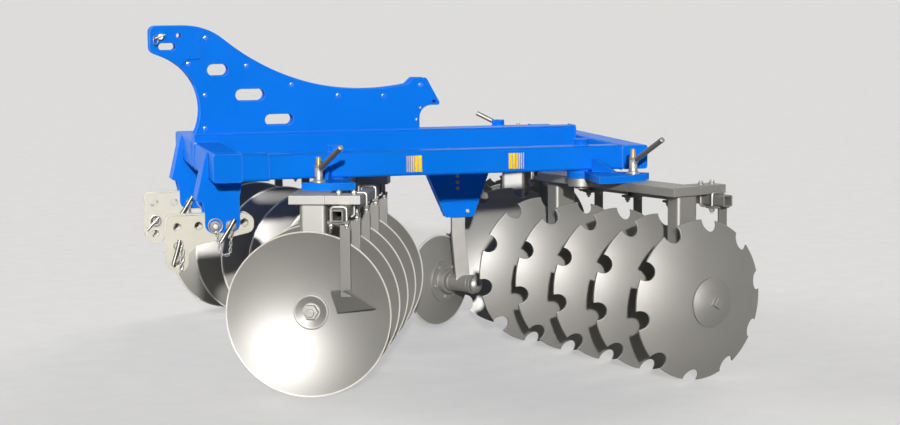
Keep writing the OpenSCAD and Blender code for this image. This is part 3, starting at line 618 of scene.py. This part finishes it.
for subpart in frame["record"]["subparts"]:
    node = subpart["node"]
    if node.startswith("discs_"):
        origin, _, inward = gang_axes(node[len("discs_"):])
        # Front discs get a lighter rim, a painted highlight; rear discs keep plain silver.
        rim_colour = RIM_HIGHLIGHT if "front" in node else SILVER_LIGHT
        finish = disc_finish("silver_" + node, origin, inward, DISC_R * MM, rim_colour)
    elif node == "centre_disc":
        roll = joints["centre_disc_roll"]
        finish = disc_finish("silver_centre_disc", roll["pos_m"], roll["axis"], CENTRE_DISC_R * MM,
                             RIM_HIGHLIGHT)
    elif node.startswith("clamp_nut_"):
        gang = node[len("clamp_nut_"):]
        finish = clamp_finish("zinc_" + node, gang_place(gang) @ Vector((STUD_X, stud_row(gang), 0)))
    elif node.startswith("scrapers_"):
        finish = DULL_SILVER
    else:
        finish = FINISHES[subpart["material_slot"]]
    for material_slot in frame["nodes"][node].material_slots:
        material_slot.material = finish


# Frame pieces

def tower_spots():
    """Plug welds where the spacers of the tower end."""
    spot = turned([(11, 0), (10, 1.2), (6, 2.0), (0, 2.2)], 20)
    shapes = []
    for x, z in TOWER_SPOTS:
        for face in (-1, 1):
            at = (TOWER_FOOT[0] + x, face * TOWER_FACE, TOWER_FOOT[1] + z)
            shapes.append(moved(spot, pointing(at, (0, face, 0))))
    piece("tower_plug_welds", shapes, frame_place(), "frame", BLUE_BEAD)


def frame_welds():
    """Beads where the tubes and plates of the frame meet."""
    shapes = []
    for face in (-1, 1):
        y = face * (TOWER_FACE + 1)
        shapes.append(weld([(x, y, CENTRE_TOP + 1) for x in TOWER_WELD], 4))
        tube = section_ring(CROSS_SIDE / 2, CROSS_SIDE / 2, BEAM_ROUND, CENTRE_W / 2, 0, 0)
        ring = [Vector((CROSS_FRONT + CROSS_SIDE / 2 + p.y, face * p.x, CROSS_Z + p.z)) for p in tube]
        shapes.append(weld(ring, 4, loop=True))
    end = section_ring(CENTRE_W / 2, CENTRE_H / 2, BEAM_ROUND, REAR_FRONT, 0, CENTRE_Z + CENTRE_H / 2)
    shapes.append(weld(end, 4, loop=True))
    for y in (HUB_Y - PLATE_OUT, HUB_Y + PLATE_OUT):
        shapes.append(weld([(x, y, CENTRE_Z - 1) for x in PLATE_WELD], 3.5))
    piece("centre_welds", shapes, frame_place(), "frame", BLUE_BEAD)
    for side in SIDES:
        shapes = []
        for out, corner, x, size in ((3, BEAM_ROUND + 3, SLEEVE_END, 3), (5, BEAM_ROUND, CROSS_BACK, 4),
                                     (0, BEAM_ROUND, REAR_FRONT, 4)):
            half = BEAM_SIDE / 2 + out
            shapes.append(weld(section_ring(half, half, corner, x, -BEAM_Y, CROSS_Z), size, loop=True))
        for x in (FRONT_PIVOT_X, REAR_PIVOT_X):
            ring = [p + Vector((x, -BEAM_Y, SIDE_TOP + 1)) for p in circle(PIVOT_TUBE_R + 1)]
            shapes.append(weld(ring, 3.5, loop=True))
        piece("beam_welds_" + side, shapes, frame_place(side == "right"), "frame", BLUE_BEAD)


tower_spots()
frame_welds()


def beam_stripes():
    """Plain yellow bars, thinner outwards, at both ends of the bare panel of a side beam."""
    low, high = BEAM_Z + 13, BEAM_Z + 71
    face = -BEAM_Y - BEAM_SIDE / 2
    widths = (2.6, 3.2, 4.6, 6.6, 10.0, 14.0)
    gaps = (4.6, 4.0, 3.0, 2.2, 1.4, 0)
    for side in SIDES:
        shapes = []
        for start, step in ((121, 1), (554, -1)):
            x = start
            for width, gap in zip(widths, gaps):
                ends = sorted((x, x + step * width))
                shapes.append(block((ends[0], face - 0.5, low), (ends[1], face + 0.5, high), 0.2))
                x += step * (width + gap)
        piece("beam_stripes_" + side, shapes, frame_place(side == "right"), "frame", YELLOW)


beam_stripes()


def bracket_pins():
    """Linch rings, bar handles and chains of the bracket pins, on the machine's left of each bracket."""
    z = HITCH_ROW_Z
    for side, middle, (ringed, barred) in (("left", -HITCH_Y, PIN_X), ("right", HITCH_Y, PIN_X[::-1])):
        y = middle - CHEEK_OUT
        end = y - 17
        ring = [Vector((ringed + p.x, y - 9, z + 2 + p.y)) for p in circle(25)]
        knob = turned([(10.5, 0), (10.5, 3), (8.5, 5), (0, 5.5)])
        shapes = [swept(ring, 2.3, loop=True), moved(knob, pointing((ringed, y - 13, z), (0, -1, 0)))]
        way = math.copysign(1, barred - ringed)
        hung = bent([(ringed + 2 * way, end, z - 20), (ringed + 16 * way, end, z - 102),
                     (barred - 8 * way, end, z - 104), (barred + 2 * way, end, z - 8)], 10)
        shapes += chain(hung, pitch=12, width=10, wire=1.9)
        piece("bracket_chain_" + side, shapes, frame_place(), "frame", ZINC)
        bar = bent([(barred + 11, end - 4, z + 26), (barred - 3, end - 6, z + 2),
                    (barred - 42, end - 12, z - 56)], 8)
        piece("bracket_bar_" + side, [swept(bar, 6.5, sides=12)], frame_place(), "frame", STEEL)


def foot_pins():
    """Pins in the lower hitch holes: bar handle and chain outside, linch pin inside."""
    x, z = FOOT_HOLE
    through = 2 * (HITCH_FACE - HITCH_Y)
    out = -HITCH_FACE - 12
    inside = -HITCH_FACE + through
    for side in SIDES:
        pin = [(0, 0), (13, 1), (14, 3), (14, through + 24), (11, through + 28), (0, through + 28)]
        bar = bent([(x + 6, out - 4, z + 24), (x + 1, out - 7, z + 2), (x - 20, out - 12, z - 66)], 8)
        shapes = [moved(turned(pin), pointing((x, out, z), (0, 1, 0))), swept(bar, 7, sides=12)]
        piece("foot_pin_" + side, shapes, frame_place(side == "right"), "frame", STEEL)
        hung = bent([(x + 10, out - 4, z + 16), (x + 16, out - 4, z - 20), (x + 8, out - 4, z - 80)], 14)
        clip = bent([(x + 12, inside + 18, z + 12), (x - 10, inside + 18, z - 10),
                     (x - 34, inside + 22, z - 36)], 6)
        loop = [Vector((x + p.x, inside + 18, z + p.y)) for p in circle(20)]
        shapes = chain(hung, pitch=14, width=13, wire=2.5)
        shapes += [swept(clip, 4, sides=10), swept(loop, 2.2, loop=True)]
        piece("foot_chain_" + side, shapes, frame_place(side == "right"), "frame", ZINC)


def top_link_pin():
    """The pin of the top link with its linch pin."""
    x, z = TOP_HOLE
    end = -HEAD_FACE - 16
    pin = [(0, 0), (19, 1), (19, 8), (12.6, 9), (12.6, 2 * HEAD_FACE + 22), (10, 2 * HEAD_FACE + 26),
           (0, 2 * HEAD_FACE + 26)]
    shapes = [moved(turned(pin), pointing((x, HEAD_FACE + 9, z), (0, -1, 0)))]
    shapes.append(swept([(x + 17, end + 4, z + 7), (x - 20, end, z - 6)], 4.8, sides=10))
    loop = [Vector((x - 18 + 0.55 * p.x, end - 3 + 0.5 * p.x, z - 12 + p.y)) for p in circle(17)]
    shapes.append(swept(loop, 2, loop=True))
    piece("top_link_pin", shapes, frame_place(), "frame", ZINC)


bracket_pins()
foot_pins()
top_link_pin()


GREASE_NIPPLE = turned([(4.5, 0), (4.5, 4), (2.5, 5), (2.5, 9), (3.3, 10), (3.3, 12), (1.5, 14), (0, 14)], 12)


def bolt(at, towards, across, head, washer=0):
    """A hexagon head with its washer, seated on a face."""
    place = pointing(at, towards)
    shapes = [moved(nut(across, head), place @ Matrix.Translation((0, 0, washer)))]
    if washer:
        rim = across * 0.72
        ring = turned([(rim - 0.5, 0), (rim, 0.5), (rim, washer - 0.5), (rim - 0.5, washer)])
        shapes.append(moved(ring, place))
    return shapes


def centre_bolts():
    """Bolts through the centre disc's bracket and arm."""
    shapes = []
    for x, z in (*ARM_BOLTS, STOP_BOLT):
        shapes += bolt((x, HUB_Y - PLATE_OUT, z), (0, -1, 0), across=13, head=5)
        shapes += bolt((x, HUB_Y + PLATE_OUT, z), (0, 1, 0), across=17, head=10, washer=2)
        shapes.append(moved(turned([(6, 0), (6, 16), (5, 18), (0, 18)]),
                            pointing((x, HUB_Y + PLATE_OUT, z), (0, 1, 0))))
    piece("centre_bracket_bolts", shapes, frame_place(), "frame", ZINC)


def hub_trim():
    """Bolts in the flange of the centre disc, rings and a grease nipple on its hub."""
    roll = joints["centre_disc_roll"]
    place = pointing(roll["pos_m"], roll["axis"]) @ Matrix.Scale(MM, 4)
    shapes = []
    for k in range(5):
        angle = math.radians(72 * k + 50)
        at = (FLANGE_BOLT_R * math.cos(angle), FLANGE_BOLT_R * math.sin(angle), FLANGE_FACE)
        shapes += bolt(at, (0, 0, 1), across=15, head=8)
    piece("hub_bolts", shapes, place, "centre_rotor", ZINC)
    up = place.to_3x3().inverted() @ Vector((0, 0, 1))
    shapes = [moved(GREASE_NIPPLE, pointing(up.normalized() * (HUB_R - 0.5) + Vector((0, 0, -20)), up))]
    piece("hub_nipple", shapes, place, "frame", ZINC)
    ring = turned([(HUB_R, 0), (HUB_R + 2.5, 1), (HUB_R + 2.5, 6), (HUB_R, 7)])
    rings = [moved(ring, Matrix.Translation((0, 0, at))) for at in (-58, 36)]
    piece("hub_rings", rings, place, "frame", SILVER)


centre_bolts()
hub_trim()


# Gang pieces

def scraper_rows(gang):
    """Where each scraper stands along the axle, and which way along it the pads lie."""
    if gang_kind(gang) == "rear":
        return [SPAN - i * DISC_PITCH for i in range(DISC_GAPS + 1)], -1
    return [i * DISC_PITCH for i in range(DISC_GAPS + 1)], 1


def u_bolts(gang):
    """U bolts over the scraper bar at every scraper, and up through the two tail plates."""
    shapes = []
    half = BAR_SIDE / 2 + U_BOLT_R + 1
    rows, way = scraper_rows(gang)
    for row in rows:
        y = row + way * PAD_Y
        path = bent([(BAR_X - half, y, BAR_LOW - PAD_T - 18), (BAR_X - half, y, GANG_BEAM_Z + 6),
                     (BAR_X + half, y, GANG_BEAM_Z + 6), (BAR_X + half, y, BAR_LOW - PAD_T - 18)], 13)
        shapes.append(swept(path, U_BOLT_R, sides=10))
        for x in (BAR_X - half, BAR_X + half):
            shapes += bolt((x, y, BAR_LOW - PAD_T), (0, 0, -1), across=17, head=9, washer=2)
    for y in hanger_rows(gang):
        path = bent([(BAR_X - half, y, GANG_BEAM_TOP + 15), (BAR_X - half, y, BAR_LOW - 5),
                     (BAR_X + half, y, BAR_LOW - 5), (BAR_X + half, y, GANG_BEAM_TOP + 15)], 13)
        shapes.append(swept(path, U_BOLT_R, sides=10))
        for x in (BAR_X - half, BAR_X + half):
            shapes += bolt((x, y, GANG_BEAM_TOP), (0, 0, 1), across=17, head=9, washer=2)
    piece("u_bolts_" + gang, shapes, gang_place(gang), "gang_" + gang, ZINC)


def gang_welds(gang):
    """Beads round the hangers and along the tail plates."""
    shapes = []
    for y in hanger_rows(gang):
        ring = [Vector((p.y, y + p.z, GANG_BEAM_Z - 1))
                for p in section_ring(HANGER_HALF_X, HANGER_HALF_Y, 12, 0)]
        shapes.append(weld(ring, 4, loop=True))
        for z in (GANG_BEAM_TOP - 0.5, GANG_BEAM_Z + 0.5):
            seam = [(GANG_BEAM_BEHIND, y + half, z) for half in (2 - TAIL_HALF, TAIL_HALF - 2)]
            shapes.append(weld(seam, 2.5))
    piece("gang_welds_" + gang, shapes, gang_place(gang), "gang_" + gang, SILVER)


def bearing_bolts(gang):
    """Screws in the faces of the bearing housings, and their grease nipples."""
    shapes = []
    screw = turned([(6, 0), (6, 4), (5, 5.5), (0, 5.5)], 12)
    for y in hanger_rows(gang):
        for face in (-1, 1):
            for k in range(6):
                angle = math.radians(30 + 60 * k)
                at = (SCREW_CIRCLE_R * math.cos(angle), y + face * HOUSING_HALF,
                      AXLE_Z + SCREW_CIRCLE_R * math.sin(angle))
                shapes.append(moved(screw, pointing(at, (0, face, 0))))
        shapes.append(moved(GREASE_NIPPLE, pointing((HOUSING_R - 0.5, y, AXLE_Z - 4), (1, 0, 0))))
    piece("bearing_screws_" + gang, shapes, gang_place(gang), "gang_" + gang, ZINC)


def stud_thread(gang):
    """The threaded end of the clamp stud."""
    low = NUT_TOP + 0.5
    high = STUD_TOP - 0.5
    pitch = 2.5
    profile = [(STUD_R, low)]
    z = low
    while z < high - 3:
        profile += [(STUD_R + 0.2, z + 0.3), (STUD_R + 1.0, z + pitch / 2), (STUD_R + 0.2, z + 2.2)]
        z += pitch
    profile += [(STUD_R - 2, high + 0.6), (0, high + 0.6)]
    thread = moved(turned(profile, 20), Matrix.Translation((STUD_X, stud_row(gang), 0)))
    piece("stud_thread_" + gang, [thread], gang_place(gang), "gang_" + gang, YELLOW_ZINC)


def clamp_trim(gang):
    """The cone on the flange of a clamp nut, the weld of its handle and the handle's cut end."""
    kind, side = gang.split("_")
    turn = math.radians(GANG_ANGLE[kind] + HANDLE_TURN[side])
    way = Vector((math.sin(HANDLE_LEAN) * math.cos(turn), math.sin(HANDLE_LEAN) * math.sin(turn),
                  math.cos(HANDLE_LEAN)))
    stud = Vector((STUD_X, stud_row(gang), NUT_Z))
    foot = stud + Vector((0, 0, HANDLE_FOOT))
    cone = turned([(NUT_FLANGE_R - 2, 4), (NUT_R + 3, 9), (NUT_R + 0.4, 18), (NUT_R + 0.4, 20)])
    lip = turned([(NUT_R, 50), (NUT_R + 1.5, 52), (NUT_R + 1.5, 57), (NUT_R - 1, 58.5), (STUD_R + 1, 58.5)])
    end = turned([(HANDLE_R - 0.4, 0), (HANDLE_R - 0.4, 0.6), (HANDLE_R - 1.4, 1.2), (0, 1.2)])
    seam = pointing(foot + way * (NUT_R + 3), way)
    shapes = [moved(cone, Matrix.Translation(stud)), moved(lip, Matrix.Translation(stud)),
              moved(end, pointing(foot + way * HANDLE_LEN, way)),
              weld([seam @ p for p in circle(HANDLE_R + 1)], 2.5, loop=True)]
    piece("clamp_trim_" + gang, shapes, gang_place(gang), "gang_" + gang, ZINC)


for gang in GANGS:
    u_bolts(gang)
    gang_welds(gang)
    bearing_bolts(gang)
    stud_thread(gang)
    clamp_trim(gang)


# Stage: a pale floor and backdrop, one lamp for colour, one for highlights alone and two soft fills

def seen_directly(tree):
    """A mask of camera, glossy and transmission rays."""
    path = add(tree, "ShaderNodeLightPath")
    either = sum_up(tree, "MAXIMUM", path.outputs["Is Camera Ray"], path.outputs["Is Glossy Ray"])
    return sum_up(tree, "MAXIMUM", either, path.outputs["Is Transmission Ray"])


BACKDROP = (0.72, 0.72, 0.72)
FLOOR_TONES = ((0.28, 0.28, 0.28), (0.31, 0.31, 0.31))
FLOOR_HALF = 2000
FLOOR_GLOW = 0.6
SKY_FILL = (0.90, 0.95, 1.0)
SKY_STRENGTH = 0.06
LAMP_COLOUR = (1.0, 0.97, 0.92)
KEY_LEFT = 12
KEY_HEIGHT = 15.5
KEY_WIDTH = 2
KEY_ENERGY = 3.3
GLINT_ENERGY = 27.0
FILL_LEFT = {"rear_fill": 219, "front_fill": 129}
FILL_HEIGHT = 20
FILL_WIDTH = 40
FILL_ENERGY = 3.0
CAMERA_LENS = 75.78
CAMERA_AT = (-1375.6, -7142.7, 1333.5)
CAMERA_YAW = math.radians(14.195)
CAMERA_PITCH = math.radians(6.523)
CAMERA_ROLL = math.radians(-0.403)


def studio():
    world = bpy.data.worlds.new("studio")
    scene.world = world
    world.use_nodes = True
    tree = world.node_tree
    tree.nodes.clear()
    fill = add(tree, "ShaderNodeBackground")
    fill.inputs["Color"].default_value = (*SKY_FILL, 1)
    fill.inputs["Strength"].default_value = SKY_STRENGTH
    shown = add(tree, "ShaderNodeBackground")
    shown.inputs["Color"].default_value = (*BACKDROP, 1)
    mix = add(tree, "ShaderNodeMixShader")
    tree.links.new(seen_directly(tree), mix.inputs["Fac"])
    tree.links.new(fill.outputs[0], mix.inputs[1])
    tree.links.new(shown.outputs[0], mix.inputs[2])
    tree.links.new(mix.outputs[0], add(tree, "ShaderNodeOutputWorld").inputs["Surface"])

    add_sun("key", KEY_ENERGY, KEY_WIDTH, KEY_LEFT, KEY_HEIGHT).visible_glossy = False
    add_sun("glint", GLINT_ENERGY, KEY_WIDTH, KEY_LEFT, KEY_HEIGHT).visible_diffuse = False
    for name, left in FILL_LEFT.items():
        add_sun(name, FILL_ENERGY, FILL_WIDTH, left, FILL_HEIGHT).visible_glossy = False


def add_sun(name, energy, width, left, height):
    """A far lamp: degrees it is wide, to the left of the machine's left side, and above the floor."""
    light = bpy.data.lights.new(name, "SUN")
    light.energy = energy
    light.angle = math.radians(width)
    light.color = LAMP_COLOUR
    lamp = bpy.data.objects.new(name, light)
    left, height = math.radians(left), math.radians(height)
    level = math.cos(height)
    towards = Vector((-math.sin(left) * level, -math.cos(left) * level, math.sin(height)))
    lamp.rotation_euler = towards.to_track_quat("Z", "Y").to_euler()
    scene.collection.objects.link(lamp)
    return lamp


def pale_floor():
    mesh = bpy.data.meshes.new("floor")
    corners = [(-1, -1), (1, -1), (1, 1), (-1, 1)]
    mesh.from_pydata([(x * FLOOR_HALF, y * FLOOR_HALF, -0.0005) for x, y in corners], [], [(0, 1, 2, 3)])
    floor = bpy.data.objects.new("floor", mesh)
    scene.collection.objects.link(floor)
    finish, tree, shader = new_finish("pale_floor", 0.0, 0.0)
    place = add(tree, "ShaderNodeTexCoord").outputs["Object"]
    grain = ranged(tree, noise(tree, 9.0, 6.0, place), 0.3, 0.7)
    tree.links.new(blended(tree, grain, *FLOOR_TONES), shader.inputs["Base Color"])
    shader.inputs["Roughness"].default_value = 0.9
    shader.inputs["Emission Color"].default_value = (*BACKDROP, 1)
    glow = sum_up(tree, "MULTIPLY", seen_directly(tree), FLOOR_GLOW)
    tree.links.new(glow, shader.inputs["Emission Strength"])
    mesh.materials.append(finish)


def photo_camera():
    data = bpy.data.cameras.new("camera")
    data.sensor_fit = "HORIZONTAL"
    data.sensor_width = 36
    data.lens = CAMERA_LENS
    data.clip_end = 3 * FLOOR_HALF
    camera = bpy.data.objects.new("camera", data)
    aim = Matrix.Rotation(-CAMERA_YAW, 4, "Z") @ Matrix.Rotation(math.pi / 2 - CAMERA_PITCH, 4, "X")
    turn = aim @ Matrix.Rotation(CAMERA_ROLL, 4, "Z")
    camera.matrix_world = frame_place() @ Matrix.Translation(CAMERA_AT) @ turn
    camera.scale = (1, 1, 1)
    scene.collection.objects.link(camera)
    scene.camera = camera


studio()
pale_floor()
photo_camera()
